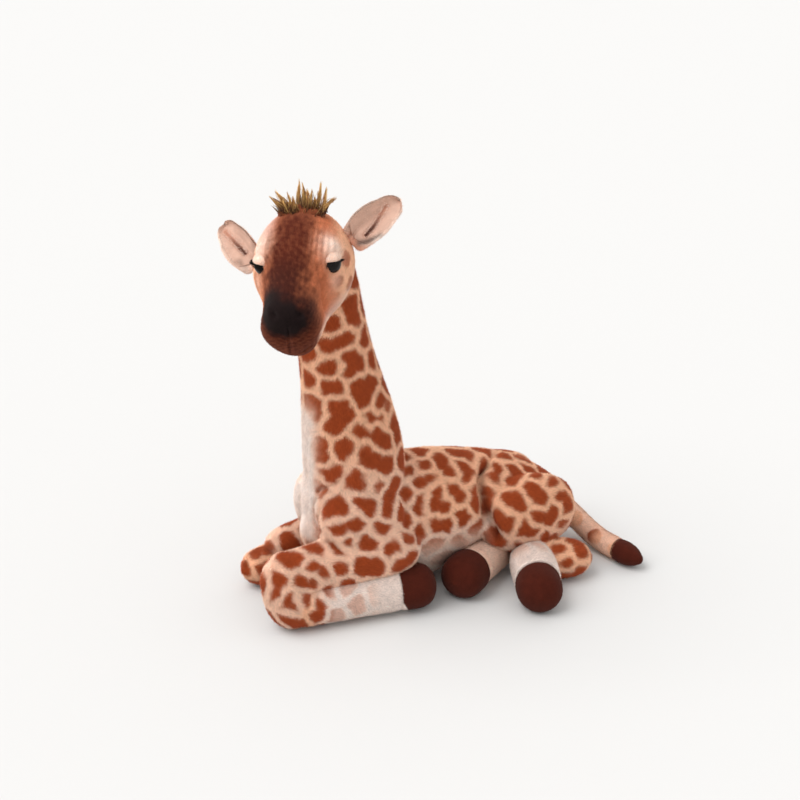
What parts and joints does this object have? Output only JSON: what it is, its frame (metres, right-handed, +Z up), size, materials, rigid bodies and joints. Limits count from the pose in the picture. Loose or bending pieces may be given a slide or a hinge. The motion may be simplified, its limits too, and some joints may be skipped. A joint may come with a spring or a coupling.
{
  "type": "plush giraffe calf",
  "caption": "Stuffed plush giraffe calf lying on its belly with its legs folded and its head turned to its left; free-standing soft toy.",
  "frame": {"origin": "the middle of the flat patch on which the underside of the chest rests", "axes": "+Z up, -Y the way the body faces, +X the calf's own left, towards which the head is turned"},
  "size_m": [0.2226, 0.4091, 0.4583],
  "materials": {
    "tan_plush": "short pile, reddish-brown patches on cream",
    "cream_plush": "short pile, cream with reddish-brown patches",
    "white_plush": "short white pile",
    "face_plush": "short brown pile, darker down the middle and on the nose",
    "hoof_plush": "short dark brown pile",
    "ear_lining_cloth": "very short pinkish cream pile",
    "eyelid_cloth": "short brown pile",
    "eye_bead": "polished, near black",
    "washer_plastic": "moulded, pale",
    "forelock_hair": "longer brown and golden strands"
  },
  "bodies": {
    "torso_body": {"torso": "cream_plush", "foreleg_left_upper": "tan_plush", "foreleg_right_upper": "tan_plush", "thigh_left": "tan_plush", "thigh_right": "tan_plush", "shank_left": "tan_plush", "shank_right": "tan_plush", "cannon_right": "white_plush", "hindhoof_right": "hoof_plush"},
    "neck_body": {"neck": "cream_plush"},
    "head_body": {"head": "face_plush", "forelock": "forelock_hair", "eye_left": "eye_bead", "eye_right": "eye_bead", "eye_washer_left": "washer_plastic", "eye_washer_right": "washer_plastic", "eyelid_left": "eyelid_cloth", "eyelid_right": "eyelid_cloth", "lashes_left": "hoof_plush", "lashes_right": "hoof_plush"},
    "ear_left_body": {"ear_left_outer": "tan_plush", "ear_left_lining": "ear_lining_cloth"},
    "ear_right_body": {"ear_right_outer": "tan_plush", "ear_right_lining": "ear_lining_cloth"},
    "foreleg_left_body": {"foreleg_left_lower": "white_plush", "foreleg_left_hoof": "hoof_plush"},
    "foreleg_right_body": {"foreleg_right_lower": "white_plush", "foreleg_right_hoof": "hoof_plush"},
    "hindleg_left_body": {"cannon_left": "white_plush", "hindhoof_left": "hoof_plush"},
    "tail_body": {"tail": "tan_plush", "tail_tip": "hoof_plush"}
  },
  "joints": [
    {"name": "neck_bend", "type": "hinge", "parent": "torso_body", "child": "neck_body", "pos_m": [0, -0.05, 0.13], "axis": [1, 0, 0], "range_deg": [-6, 6], "stiffness_Nm_per_rad": 4},
    {"name": "head_turn", "type": "hinge", "parent": "neck_body", "child": "head_body", "pos_m": [0, -0.081, 0.345], "axis": [0, -0.1514, 0.9885], "range_deg": [-18, 18], "stiffness_Nm_per_rad": 0.5},
    {"name": "ear_left_flop", "type": "hinge", "parent": "head_body", "child": "ear_left_body", "pos_m": [0.05151, -0.07565, 0.39687], "axis": [0.5956, 0.4349, -0.6754], "range_deg": [-15, 15], "stiffness_Nm_per_rad": 0.006},
    {"name": "ear_right_flop", "type": "hinge", "parent": "head_body", "child": "ear_right_body", "pos_m": [0.00581, -0.1461, 0.36903], "axis": [0.1865, 0.6858, 0.7035], "range_deg": [-10, 12], "stiffness_Nm_per_rad": 0.006},
    {"name": "foreleg_left_swing", "type": "hinge", "parent": "torso_body", "child": "foreleg_left_body", "pos_m": [0.044, -0.139, 0.0249], "axis": [0, 0, -1], "range_deg": [0, 24], "stiffness_Nm_per_rad": 0.3},
    {"name": "foreleg_right_swing", "type": "hinge", "parent": "torso_body", "child": "foreleg_right_body", "pos_m": [-0.044, -0.139, 0.0211], "axis": [0, 0, 1], "range_deg": [0, 24], "stiffness_Nm_per_rad": 0.3},
    {"name": "hindleg_left_swing", "type": "hinge", "parent": "torso_body", "child": "hindleg_left_body", "pos_m": [0.0615, 0.123, 0.0231], "axis": [0, 0, 1], "range_deg": [-10, 20], "stiffness_Nm_per_rad": 0.1},
    {"name": "tail_swing", "type": "hinge", "parent": "torso_body", "child": "tail_body", "pos_m": [0, 0.192, 0.042], "axis": [0, 0, 1], "range_deg": [-2, 28], "stiffness_Nm_per_rad": 0.03}
  ]
}
